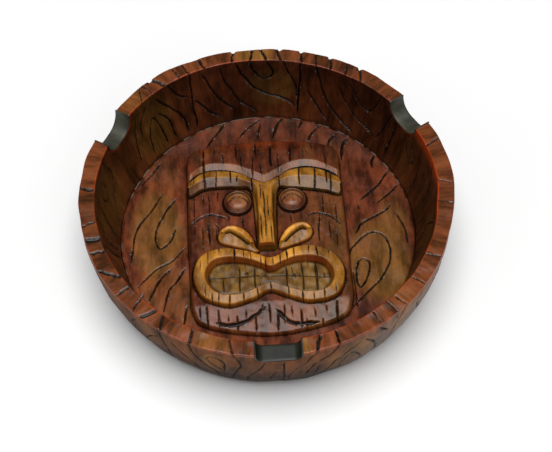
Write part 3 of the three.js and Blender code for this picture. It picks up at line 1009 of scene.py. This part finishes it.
def bowl_floor():
    skirt = [(1, LEDGE_TOP + GAP)]
    for radius, level in [
        (LEDGE_RADIUS - GAP, LEDGE_TOP + GAP),
        (LEDGE_RADIUS - GAP, UNDERSIDE + 0.15),
        (UNDERSIDE_RADIUS, UNDERSIDE),
        (PAD_HIGH[0] + GAP, UNDERSIDE),
        (PAD_HIGH[0] + GAP, PAD_HIGH[2] + GAP),
    ]:
        skirt.append((radius / FLOOR_EDGE, level))

    def buried(points):
        """Three points in four, where the panel hides the floor."""
        deep = inside(points, [PANEL_RING]) & (edge_gap(points, [PANEL_RING]) > 2)
        cells = np.floor(points / 0.4).astype(int)
        return deep & ((cells[:, 0] % 4 > 0) | (cells[:, 1] % 4 > 0))

    step = 0.4
    rings = [circle(FLOOR_EDGE, step)]
    return relief("carved_floor", "bowl_floor", "red_wood", rings, floor_surface, step, skirt, buried)


# Mask outlines

PANEL_OUTLINE = [
    (-33.3, 0), (-33, 24), (-32.5, 37), (-25, 42.5), (0, 45.5), (24, 42), (32, 37), (32.5, 24), (32.8, 0),
    (32.5, -24), (32, -37), (26, -45), (0, -50), (-26, -45.5), (-32.5, -38), (-33, -24),
]
BROW_OUTLINE = [
    (-32, 23.5), (-25, 28.7), (-13, 28), (0, 21.6), (12, 28), (22, 28), (31, 22.5), (31.5, 14),
    (24, 16.2), (10, 18.6), (5, 17), (3.8, 4), (3.2, -10.6), (2.2, -11.8), (-3.8, -11.8), (-4.8, -10.6),
    (-5, 4), (-6, 17), (-11, 19.8), (-25, 20), (-32, 16.5),
]
LIP_OUTLINE = [
    (-20, -10.8), (-9, -12.8), (0, -16.6), (8, -12.8), (17, -11.6), (26, -16), (30, -25), (26, -35.5),
    (15, -38), (6, -35), (-1, -32.2), (-8, -35.5), (-18, -37.8), (-28, -33.5), (-31.8, -24), (-29, -14.5),
]
MOUTH_OUTLINE = [
    (0, -22.6), (-6, -19.6), (-14, -17.3), (-22, -18), (-25.6, -24), (-22, -31), (-14, -32.6),
    (-6, -30.2), (0, -27.6), (6, -30.6), (15, -33.2), (22, -31.5), (24, -26), (20.5, -20), (12, -18.5),
    (5, -20.3),
]
NOSTRIL_OUTLINES = {
    "left": [
        (-4.2, -12.3), (-5.7, -10.2), (-6.6, -6.4), (-9.4, -2.1), (-13.5, 0.2), (-17.6, 0),
        (-20.8, -3.3), (-20.2, -7.2), (-16, -9.2), (-10.5, -11), (-6.4, -13),
    ],
    "right": [
        (3.9, -11), (4.5, -7.5), (6.6, -3.6), (9.4, -1.1), (13, 0.3), (16.2, -0.4), (18.4, -3.6),
        (17, -7.2), (12.5, -9.6), (8, -11), (5.2, -11.9),
    ],
}
NOSTRIL_SLOTS = {
    "left": [(-17.4, -3.2), (-15.6, -2.8), (-12.0, -5.6), (-8.8, -9.2)],
    "right": [(15.4, -3.4), (13.6, -2.9), (9.8, -5.4), (6.6, -9.0)],
}
EYE_CENTRES = {"left": (-12.0, 12.4), "right": (11.0, 12.4)}

# The brows' upper edge, in two halves that meet in a sharp V, and their lower edge.
BROW_BACK = np.vstack([smooth(BROW_OUTLINE[:4], 1.5), smooth(BROW_OUTLINE[3:7], 1.5)])
BROW_FRONT = [
    (-32, 16.5), (-25, 20), (-11, 19.8), (-6, 17), (5, 17), (10, 18.6), (24, 16.2), (31.5, 14),
]
PANEL_RING = smooth(PANEL_OUTLINE, 3, closed=True)
BROW_RING = smooth(BROW_OUTLINE, 1.2, closed=True)
LIP_RING = smooth(LIP_OUTLINE, 1.2, closed=True)


def upright(x, low, high, width, lean=0.0):
    """A crack that runs along Y, whose upper end leans to one side."""
    return (width, [(x + lean, high), (x + lean / 2, (low + high) / 2), (x, low)])


def uprights(cracks):
    """Cracks along Y, from a list of (x, low end, high end, half width, lean)."""
    return [upright(*crack) for crack in cracks]


FACE_CRACKS = uprights([
    (-25.6, 26, 41, 0.5), (-17.5, 32, 37.6, 0.4), (-11.6, 34.5, 43.5, 0.5), (-9.6, 29, 36.5, 0.3),
    (-5.2, 24, 36, 0.35, 0.6), (-3.2, 35, 44, 0.5), (-1.3, 25, 32, 0.35), (3.1, 29, 41.5, 0.6),
    (6.2, 27, 37.5, 0.3), (11.2, 31, 41, 0.5, 0.9), (17.3, 33.5, 38.6, 0.35), (26.5, 28, 35.5, 0.4),
    (-14.5, 40, 44.5, 0.35), (21, 36, 43, 0.35), (-21, 36, 42.5, 0.3), (-26.3, 12, 18, 0.35),
    (-24, 7, 19, 0.3), (-20.4, 14, 20, 0.4), (-30.4, -2, 20, 0.3), (-24.5, -8, 3, 0.5),
    (-27.2, -11, 2, 0.3), (-10.2, 0, 6, 0.4), (-15.8, 2, 9, 0.3), (-21.6, -6, 1, 0.3),
    (23.8, 5, 15, 0.35), (20.6, -9, 5, 0.4, 1.4), (25.6, -8, 2, 0.35), (14.3, 3, 9, 0.4), (10, 1, 6, 0.4),
    (29, 0, 10, 0.3), (28.2, -12, -4, 0.3), (-22, -46, -38, 0.4), (-14.8, -48, -41, 0.5),
    (-7.4, -49, -41, 0.4), (-1.6, -45, -36, 0.35), (1.4, -49, -40, 0.4), (7.4, -43, -38, 0.35),
    (10.8, -48, -40, 0.5), (12.9, -49, -43, 0.35), (16.4, -44, -39, 0.35), (21, -42, -38.6, 0.35),
    (25.3, -47, -37, 0.5), (-26.6, -46, -36, 0.45), (-29.4, -42, -36, 0.35), (-4.4, -41, -36, 0.35),
    (4.2, -46, -37, 0.35), (-18.4, -45, -40.5, 0.3), (19.4, -48, -44, 0.4), (-11, -43, -38.5, 0.3),
])
CHEEK_LINES = [
    (0.5, [(-31.5, 3.3), (-28, 5.8), (-24, 7.3), (-20, 6.3), (-16.8, 4.8)]),
    (0.5, [(16.5, 3.8), (19, 5.3), (23, 4.8), (27, 2.8), (30.5, -1.2)]),
    (1.0, [(-23, -43.8), (-18, -45.2), (-12, -44.2), (-7, -41.2), (-3.5, -38.2)]),
    (1.0, [(1, -39.2), (4, -43.2), (8, -45.7), (13, -46.2), (18, -45.7)]),
    (0.3, [(-22, 3), (-20.5, 0.5), (-20.8, -3)]),
]


def crowd(points, rings, reach):
    """Whether a point is inside one of the outlines or within reach of it."""
    near = np.zeros(len(points), bool)
    for ring in rings:
        near |= inside(points, [ring]) | (edge_gap(points, [ring]) < reach)
    return near


def panel_surface(points, gap):
    x, y = points.T
    behind = y - follow(x, BROW_BACK)
    below = np.clip(-35.5 - y, 0, None)
    level = FACE_TOP - 0.17 * below**2 / (below + 1.5)
    forehead = FACE_TOP + 1.0 + 1.15 * np.clip(behind / 3.4, 0, 1) - 0.28 * np.clip(y - 38, 0, None)
    level = np.where((behind > -1) & (y > 20), forehead, level)
    rounding = rounded(gap, np.where(y > 20, 2.2, 1.6))
    depth, ink, dust = carve(points, FACE_CRACKS + CHEEK_LINES)
    lumps = 0.08 * ripple(points, 12, 61) + 0.03 * ripple(points, 4, 62)
    height = level + lumps - rounding - depth
    eyes = [circle(EYE_RADIUS, 1.2) + centre for centre in EYE_CENTRES.values()]
    nostrils = [smooth(outline, 1, closed=True) for outline in NOSTRIL_OUTLINES.values()]
    rings = [BROW_RING, LIP_RING, *eyes, *nostrils]
    height = np.where(crowd(points, rings, GAP), POCKET, height)
    # Painted shade round the brows, lips, eyes and nostrils, with random tone.
    around = np.min([edge_gap(points, [r]) for r in rings], axis=0)
    shade = 0.75 * ease(1.1, 0.25, around) + 0.3 * ease(0, 1.0, ripple(points * [1, 0.25], 7, 63))
    # Painted shade along the panel's edge; the face is drawn darker, the forehead more so.
    shade = np.maximum(shade, 0.5 * ease(1.0, 0, gap)) + 0.14 + 0.18 * ease(20, 26, y)
    # Painted light along the forehead's top edge, and random orange tint over the forehead.
    glow = 0.2 * ease(39.5, 43, y) + 0.12 * ease(0.2, 1, ripple(points * [1, 0.3], 9, 64))
    glow *= ease(20, 26, y)
    # Painted reflection: the slope above the brows and the chin are drawn lighter and warmer.
    pale = ease(-0.3, 0.3, behind) * ease(4.2, 3.2, behind) * (y > 20) + 0.4 * ease(-35, -38, y)
    shade -= 0.5 * pale
    amber = 0.3 * ease(0.4, 1, ripple(points * [1, 0.4], 12, 65)) + 0.35 * ease(6, 20, x) * ease(20, 12, y)
    amber += 0.4 * pale
    return height, paint(points, ink=ink, dust=dust, amber=amber, glow=glow, shade=shade)


BROW_CRACKS = uprights([
    (-25.6, 19, 30, 0.45), (-20.8, 19, 28, 0.35, 0.5), (-14.6, 22, 29, 0.5), (-11.8, 22, 25, 0.4),
    (-5.6, 17, 27, 0.5), (6.1, 18, 26, 0.35), (14.4, 19, 28.5, 0.5, 0.5), (20.8, 16, 28, 0.5, 1.0),
    (26.1, 19, 27, 0.5), (27.4, 15, 25, 0.4, 0.8), (-30, 21, 25, 0.35), (-2.3, 12, 20, 0.3),
    (-1.0, -8, 17, 0.35), (0.5, 2, 14, 0.3), (-2.8, -9, 4, 0.35), (1.2, -11, -1, 0.3),
])


def brow_surface(points, gap):
    x, y = points.T
    upper, lower = follow(x, BROW_BACK), follow(x, BROW_FRONT)
    share = (upper - y) / (upper - lower)
    crest = BROW_TOP + 0.3 * np.abs(x) / 30
    centre = -0.75 + 0.02 * y
    flank = ease(2.8, 5.5, np.abs(x - centre))
    band = crest - 0.9 * ease(0.5, 0, share) - 2.2 * flank * np.clip((share - 0.5) / 0.5, 0, None)
    band = np.maximum(band, FACE_TOP + 0.45)
    band = np.minimum(band, np.where(share > 0.6, FACE_TOP + 0.6 + 3 * gap, band))
    flat_half = 2.5 + 0.35 * ease(10, -12, y)
    ridge = BROW_TOP - 0.4 + (NOSE_TOP - BROW_TOP + 0.4) * ease(26, NOSE_TIP, y)
    side = np.clip((np.abs(x - centre) - flat_half) / 1.3, 0, 1)
    front = ease(NOSE_TIP + 0.35, NOSE_TIP - 0.1, y)
    nose = ridge - 0.3 * ((x - centre) / 3) ** 2 - (ridge - FACE_TOP - 0.3) * np.maximum(side**1.2, front)
    nose = np.where(y < upper - 1.2, nose, 0)
    height = np.maximum(band, nose)
    depth, ink, dust = carve(points, BROW_CRACKS)
    # Painted shade in the crease along the brows' upper edge.
    ink = np.maximum(ink, ease(0.13, 0.08, share))
    height = height - rounded(gap, 0.5) + 0.05 * ripple(points, 5, 71) - depth
    on_nose = ease(NOSE_TIP + 32, NOSE_TIP + 27, y) * ease(1.6, 1.0, np.abs(x - centre) / 4)
    sloped = ease(0.48, 0.56, share) * (1 - on_nose) * flank
    # Painted light along the nose's top edges, over its tip and along the brows' upper edge.
    edge = np.exp(-((side - 0.16) / 0.08) ** 2) + np.exp(-((y - NOSE_TIP - 0.3) / 0.4) ** 2) * (side < 0.2)
    # The left brow's sloping band gets an orange tint and is drawn darker.
    left_slope = 0.2 * sloped * (x < 0)
    glow = 0.4 * ease(0.8, 0.2, gap) * (share < 0.3) + left_slope + 0.45 * on_nose * np.clip(edge, 0, 1)
    # Painted shade on the nose's sides, on the face of its tip and along the brows' lower edge.
    flanks = np.maximum(0.85 * ease(0.2, 0.45, side), ease(0.1, 0.4, front))
    # The sloping band below the crest is drawn darker.
    shade = 0.45 * sloped + 0.5 * ease(0.9, 0.3, gap) * sloped + left_slope + on_nose * flanks
    shade += 0.15 * ease(0, 1, ripple(points * [1, 0.3], 5, 72)) - 0.25 * on_nose
    amber = 0.2 * ease(0, 1, ripple(points, 9, 73))
    return height, paint(points, ink=ink, dust=dust, amber=amber, glow=glow, shade=shade)


# Sections of the lips and the nostrils' limbs: (share of the way across, share of the height).
UPPER_LIP = [
    (0, 0.1), (0.05, 0.6), (0.1, 0.82), (0.3, 0.96), (0.5, 1.0), (0.74, 0.96), (0.78, 0.88), (1, 0.32),
]
LOWER_LIP = [
    (0, 0.1), (0.04, 0.5), (0.09, 0.66), (0.3, 0.78), (0.7, 0.99), (0.76, 0.97), (0.8, 0.88), (1, 0.35),
]
ROUND_LIMB = [(0, 0.1), (0.06, 0.5), (0.15, 0.78), (0.4, 1.0), (0.8, 0.92), (0.92, 0.6), (1, 0.2)]
FLAT_LIMB = [(0, 0.1), (0.05, 0.3), (0.1, 0.38), (0.92, 0.78), (1, 0.5)]
LIP_CRACKS = uprights([
    (-25.5, -19, -12, 0.3), (-20.7, -14, -10, 0.35), (-14.6, -17, -10.5, 0.55),
    (-10.7, -16.5, -12.5, 0.35), (-8, -18, -13.5, 0.3), (-4.0, -21, -16, 0.35), (-2.0, -22, -17.5, 0.35),
    (1.0, -22, -17, 0.25), (4, -20, -14, 0.4), (6.7, -18.5, -12.8, 0.55), (9.6, -18, -12, 0.35),
    (15.8, -16, -11, 0.35), (19.3, -18, -12, 0.5, -0.4), (24, -18, -14, 0.25), (-27, -33, -29, 0.35),
    (-24.3, -37, -32, 0.4), (-21.6, -37, -32.5, 0.3), (-17.5, -38, -33.5, 0.45, 0.5),
    (-11.6, -37, -33, 0.4), (-5.8, -35, -30.5, 0.35), (-0.6, -33, -28, 0.3), (6.4, -36, -31, 0.35),
    (12, -38, -33.5, 0.5), (16.3, -38, -34.6, 0.25), (20.7, -37.5, -32.6, 0.4), (25.4, -35, -31, 0.3),
    (-28.6, -22, -17, 0.25),
])


def lip_surface(points, gap):
    x, y = points.T
    mouth = smooth(MOUTH_OUTLINE, 1.2, closed=True)
    out, inn = edge_gap(points, [LIP_RING]), edge_gap(points, [mouth])
    share = out / (out + inn)
    lower = ease(-22, -31, y)
    rise = (1 - lower) * follow(share, UPPER_LIP) + lower * follow(share, LOWER_LIP)
    raised = FACE_TOP + (LIP_TOP - FACE_TOP) * rise
    depth, ink, dust = carve(points, LIP_CRACKS)
    height = raised + 0.08 * ripple(points, 7, 81) - depth * ease(0, 0.5, gap)
    # Painted light and painted shade give the inner bevel and the outer edge a dark orange.
    glow = 0.45 * ease(0.76, 0.82, share) * (1 - 0.6 * lower)
    glow = np.maximum(glow, 0.3 * ease(0.12, 0.04, share))
    # The upper lip's top is drawn lighter.
    top = ease(0.08, 0.14, share) * ease(0.8, 0.74, share) * (0.3 + 0.7 * ease(26, 18, np.abs(x)))
    shade = 0.6 * ease(0.76, 0.82, share) + 0.6 * ease(0.09, 0.02, share) - 0.85 * top * (1 - lower)
    amber = 0.8 * ease(0.2, 1, ripple(points, 16, 82)) + 0.5 * ease(8, 26, x) * (1 - lower)
    return height, paint(points, ink=ink, dust=dust, amber=amber, glow=glow, shade=shade)


def nostril(side):
    slot = smooth(NOSTRIL_SLOTS[side], 0.6)
    outline = smooth(NOSTRIL_OUTLINES[side], 0.8, closed=True)

    def surface(points, _):
        out = edge_gap(points, [outline])
        near = near_line(points, slot)[0]
        inn = np.clip(near - 0.5, 0, None)
        share = out / (out + inn + 1e-6)
        upper = points[:, 1] > follow(points[:, 0], sorted(NOSTRIL_SLOTS[side]))
        rise = np.where(upper, follow(share, ROUND_LIMB), follow(share, FLAT_LIMB))
        height = FACE_TOP + (NOSTRIL_TOP - FACE_TOP) * rise
        height -= 1.2 * ease(0.7, 0.2, near)
        height = np.maximum(height, FACE_TOP - 0.3) + 0.03 * ripple(points, 3, 91)
        # Painted shadow: the slot under the upper limb is blackened.
        ink = ease(0.8, 0.45, near)
        # Painted light on the limbs' edges.
        glow = 0.5 * ease(0.3, 0.05, share) * upper + 0.3 * ease(0.2, 0.05, share)
        # Painted shade at the outer edge and by the slot; the upper limb is drawn lighter.
        shade = 0.6 * ease(0.08, 0.02, share) + 0.35 * ease(0.75, 0.95, share) - 0.85 * upper
        return height, paint(points, ink=ink, glow=glow, shade=shade, amber=0.3 * ~upper)

    outlines = [NOSTRIL_OUTLINES[side]]
    return inlay(f"carved_{side}_nostril", f"{side}_nostril", "amber_wood", outlines, surface, 0.26)


def eye(side):
    centre = np.array(EYE_CENTRES[side])

    def surface(points, gap):
        u, v = (points - centre).T
        away = np.hypot(u, v)
        ball = np.hypot(u / 4.0, (v + 0.4) / 3.1)
        rim = EYE_TOP - 0.5 - 0.9 * ease(0.5, 0, EYE_RADIUS - away)
        dish = EYE_TOP - 0.5 - 1.0 * ease(EYE_RADIUS - 0.8, 4.2, away)
        height = np.minimum(rim, dish)
        dome = EYE_TOP - 1.6 + 1.5 * np.sqrt(np.clip(1 - ball**2, 0, 1))
        height = np.maximum(height, np.where(ball < 1, dome, 0))
        lid = [(0.5, centre + [(-4.2, -0.2), (-2.4, 1.7), (0.2, 2.5), (2.6, 1.7), (4.2, -0.4)])]
        depth, ink, _ = carve(points, lid, wobble=0.0)
        # Painted shade in the creases round the ball and inside the rim.
        ink = np.maximum(ink, 0.75 * ease(0.16, 0.0, np.abs(ball - 1.04)))
        ink = np.maximum(ink, 0.55 * ease(0.3, 0.05, np.abs(away - 5.0)))
        # Painted shade at the eye's edge; the ball is drawn lighter and its surround darker.
        shade = 0.3 * ease(1.0, 1.08, ball) + 0.8 * ease(0.7, 0.2, gap) - 0.4 * ease(1.05, 0.9, ball)
        shade += 0.3 * ease(EYE_RADIUS - 1.8, EYE_RADIUS - 1, away)
        # Painted light round the ball.
        glow = 0.15 * ease(1.0, 1.1, ball)
        gold = 0.6 * ease(0, 2.5, v)
        return height - depth, paint(points, ink=ink, amber=gold, glow=glow, shade=shade)

    step = 0.24
    rings = [circle(EYE_RADIUS, step) + centre]
    return relief(f"carved_{side}_eye", f"{side}_eye", "eye_wood", rings, surface, step)


TEETH_GAP = 0.2
TEETH_LINES = [
    (0.4, [(-26, -24.6), (-12, -24.4), (0, -24.6)]), (0.35, [(0, -24.8), (8, -25.2), (24, -27)]),
    *uprights([
        (-19.4, -31, -25, 0.4), (-13, -32, -19, 0.45), (-6.8, -30, -20.5, 0.55), (6.2, -31, -20, 0.5),
        (12.6, -33, -19, 0.45), (18.2, -32.4, -19, 0.6), (21.2, -27, -24, 0.35),
    ]),
    (0.3, [(8, -20), (9.4, -25.6)]), (0.45, [(-11, -23.6), (-9.9, -22.2), (-9.6, -23.8)]),
    (0.45, [(8.6, -25.6), (9.4, -24.6), (9.6, -26.4)]),
    *uprights([(-16, -20, -17.6, 0.25), (-10.6, -20.5, -18, 0.25), (15, -21, -18.8, 0.25)]),
]


def teeth_plate():
    """The teeth, which stand a little clear of the lips."""

    def surface(points, gap):
        depth, ink, dust = carve(points, TEETH_LINES)
        height = TEETH_TOP - 0.25 + 0.12 * ripple(points, 5, 101) - depth - 0.3 * ease(0.8, 0, gap)
        # Painted shade along the plate's edge and along its top, under the upper lip, with random tone.
        shade = 0.55 * ease(1.2, 0, gap) + 0.35 * ease(0.2, 1, ripple(points, 5, 102))
        shade += 0.35 * ease(-19.5, -17.5, points[:, 1])
        return height, paint(points, ink=0.85 * ink, dust=dust * 0.6, shade=shade)

    step = 0.3
    mouth = smooth(MOUTH_OUTLINE, step, closed=True)
    way = headings(mouth)
    outward = np.column_stack([way[:, 1], -way[:, 0]]) * np.sign(doubled_area(mouth))
    rings = [mouth - TEETH_GAP * outward]
    return relief("carved_teeth", "teeth_plate", "teeth_wood", rings, surface, step)


def base_pad():
    """A felt disc with a soft, slightly uneven edge."""
    thick, radius = PAD_HIGH[2] - PAD_LOW[2], PAD_HIGH[0]
    body = np.vstack([
        [(radius / 2, 0), (radius - 3, 0)],
        arc(radius - 0.4, 0.4, 0.4, -90, 0, 5),
        arc(radius - 0.4, thick - 0.3, 0.3, 0, 90, 4),
        [(radius / 2, thick)],
    ])
    steps = 240
    turn = np.arange(steps) * 2 * math.pi / steps
    fray = 0.12 * ripple(np.column_stack([np.cos(turn), np.sin(turn)]) * radius, 4, 111)
    reach = body[:, :1] + np.minimum(fray, 0)
    body_points = [reach * np.cos(turn), reach * np.sin(turn), np.repeat(body[:, 1:], steps, 1)]
    vertices = np.vstack([np.stack(body_points, -1).reshape(-1, 3), [(0, 0, 0), (0, 0, thick)]])
    index = np.arange(len(body) * steps).reshape(-1, steps)
    index = np.pad(index, ((0, 0), (0, 1)), "wrap")
    faces = cells(index).tolist()
    faces += [(len(vertices) - 2, b, a) for a, b in zip(index[0], index[0, 1:])]
    faces += [(a, b, len(vertices) - 1) for a, b in zip(index[-1], index[-1, 1:])]
    return new_piece("felt_pad", "base_pad", "base_felt", vertices, faces, {})


def build():
    bowl_wall()
    bowl_floor()
    lips = [LIP_OUTLINE, MOUTH_OUTLINE]
    inlay("carved_face", "face_panel", "red_wood", [PANEL_OUTLINE], panel_surface, 0.36, PANEL_FOOT)
    inlay("carved_brow_and_nose", "brow_and_nose", "amber_wood", [BROW_OUTLINE], brow_surface, 0.3)
    inlay("carved_lips", "lip_ring", "amber_wood", lips, lip_surface, 0.28)
    teeth_plate()
    for side in ("left", "right"):
        nostril(side)
        eye(side)
    for side in RESTS:
        rest_liner(side)
    base_pad()


# Studio

VIEW_HEADING = -92.8
VIEW_RISE = 56.19
VIEW_ROLL = -1.01
VIEW_REACH = 476.3
VIEW_AIM = (2.5, -17.8, 40.0)
LENS = 79.53
SENSOR = 36.0
TABLE_HALF = 12.0
SKY = 0.07


def direction(heading, rise):
    """The direction of a heading and a height, both in degrees."""
    turn, lift = math.radians(heading), math.radians(rise)
    return Vector((math.cos(turn) * math.cos(lift), math.sin(turn) * math.cos(lift), math.sin(lift)))


def camera():
    data = bpy.data.cameras.new("camera")
    data.lens, data.sensor_width, data.sensor_fit = LENS, SENSOR, "HORIZONTAL"
    data.clip_start, data.clip_end = 0.01, 20
    made = add_object("camera", data)
    back = direction(VIEW_HEADING, VIEW_RISE)
    aim = Vector(VIEW_AIM) * MM
    facing = (-back).to_track_quat("-Z", "Y").to_matrix().to_4x4()
    roll = Matrix.Rotation(math.radians(VIEW_ROLL), 4, "Z")
    made.matrix_world = Matrix.Translation(aim + back * VIEW_REACH * MM) @ facing @ roll
    bpy.context.scene.camera = made


def soft_sun(name, heading, rise, spread, strength):
    """A wide soft light from far away, at a heading and a height in degrees."""
    data = bpy.data.lights.new(name, "SUN")
    data.energy, data.angle = strength, math.radians(spread)
    made = add_object(name, data)
    made.matrix_world = direction(heading, rise).to_track_quat("Z", "Y").to_matrix().to_4x4()


def studio():
    """A pale paper table, three soft lights and a faint white sky."""
    mesh = bpy.data.meshes.new("table")
    ends = [(-1, -1, 0), (1, -1, 0), (1, 1, 0), (-1, 1, 0)]
    mesh.from_pydata([Vector(end) * TABLE_HALF for end in ends], [], [(0, 1, 2, 3)])
    table = add_object("table", mesh)
    g = Graph("table_paper")
    place = g.node("TexCoord").outputs["Object"]
    cloud = g.noise(place, 3.0, 2.0)
    paper = g.mix(g.spread(cloud, 0.3, 0.7), rgb(246, 246, 246), rgb(250, 250, 250))
    table.data.materials.append(g.shade(Base_Color=paper, Roughness=0.9))
    soft_sun("overhead", -90, 86, 44, 2.75)
    soft_sun("front_right", -55, 48, 40, 0.4)
    soft_sun("front_left", -150, 45, 40, 0.2)
    world = bpy.data.worlds.new("world")
    world.use_nodes = True
    background = world.node_tree.nodes["Background"]
    background.inputs["Color"].default_value = (1, 1, 1, 1)
    background.inputs["Strength"].default_value = SKY
    bpy.context.scene.world = world
    bpy.context.scene.view_settings.view_transform = "Standard"


camera()
studio()
build()
